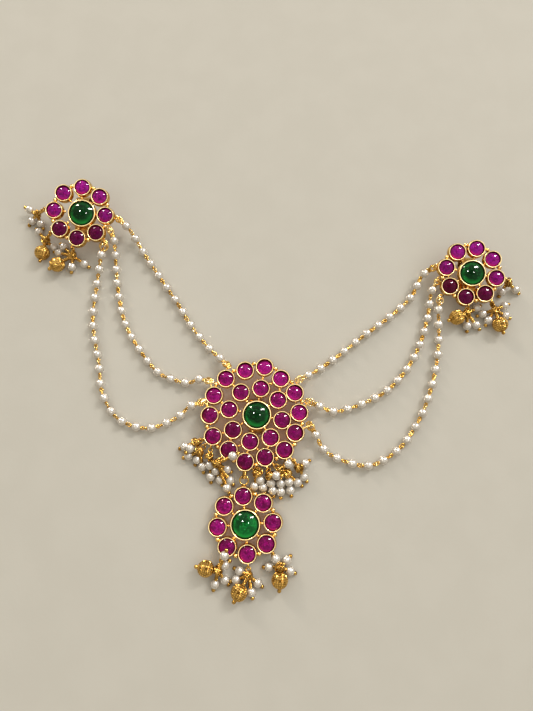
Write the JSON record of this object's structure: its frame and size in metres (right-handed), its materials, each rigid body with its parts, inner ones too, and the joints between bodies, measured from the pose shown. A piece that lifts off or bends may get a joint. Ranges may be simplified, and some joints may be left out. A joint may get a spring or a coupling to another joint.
{
  "type": "hair braid ornament",
  "caption": "Hair braid ornament: a large stone-set floret with a pendant floret below, joined by strings of pearls to two smaller florets, with bunches of pearl drops.",
  "frame": {"origin": "on the surface it lies on, under the middle of the large floret, on the lower leaf of its clip", "axes": "+X across the ornament from the left floret to the right one, +Y up the ornament from the pendant, +Z out of the surface"},
  "size_m": [0.2032, 0.161, 0.0133],
  "materials": {
    "gold": "polished, slightly worn",
    "ruby_glass": "polished dome",
    "emerald_glass": "polished dome",
    "pearl": "lustrous"
  },
  "bodies": {
    "root": {"left_setting": "gold", "right_setting": "gold", "pendant_setting": "gold", "centre_setting": "gold", "pendant_bail": "gold", "left_hair_clip": "gold", "right_hair_clip": "gold", "centre_hair_clip": "gold", "left_ruby_1": "ruby_glass", "left_ruby_2": "ruby_glass", "left_ruby_3": "ruby_glass", "left_ruby_4": "ruby_glass", "left_ruby_5": "ruby_glass", "left_ruby_6": "ruby_glass", "left_ruby_7": "ruby_glass", "left_ruby_8": "ruby_glass", "right_ruby_1": "ruby_glass", "right_ruby_2": "ruby_glass", "right_ruby_3": "ruby_glass", "right_ruby_4": "ruby_glass", "right_ruby_5": "ruby_glass", "right_ruby_6": "ruby_glass", "right_ruby_7": "ruby_glass", "right_ruby_8": "ruby_glass", "pendant_ruby_1": "ruby_glass", "pendant_ruby_2": "ruby_glass", "pendant_ruby_3": "ruby_glass", "pendant_ruby_4": "ruby_glass", "pendant_ruby_5": "ruby_glass", "pendant_ruby_6": "ruby_glass", "pendant_ruby_7": "ruby_glass", "pendant_ruby_8": "ruby_glass", "left_emerald": "emerald_glass", "right_emerald": "emerald_glass", "pendant_emerald": "emerald_glass", "centre_emerald": "emerald_glass", "left_strand_upper": "pearl", "left_strand_middle": "pearl", "left_strand_lower": "pearl", "right_strand_upper": "pearl", "right_strand_middle": "pearl", "right_strand_lower": "pearl", "left_drops_outer": "pearl", "left_drops_lower": "pearl", "left_drops_inner": "pearl", "right_drops_inner": "pearl", "right_drops_lower": "pearl", "right_drops_outer": "pearl", "pendant_drops_left": "pearl", "pendant_drops_middle": "pearl", "pendant_drops_right": "pearl", "centre_drops_1": "pearl", "centre_drops_2": "pearl", "centre_drops_3": "pearl", "centre_drops_4": "pearl", "centre_drops_5": "pearl", "centre_drops_6": "pearl", "centre_drops_7": "pearl", "centre_drops_8": "pearl", "centre_drops_9": "pearl"}
  },
  "joints": []
}
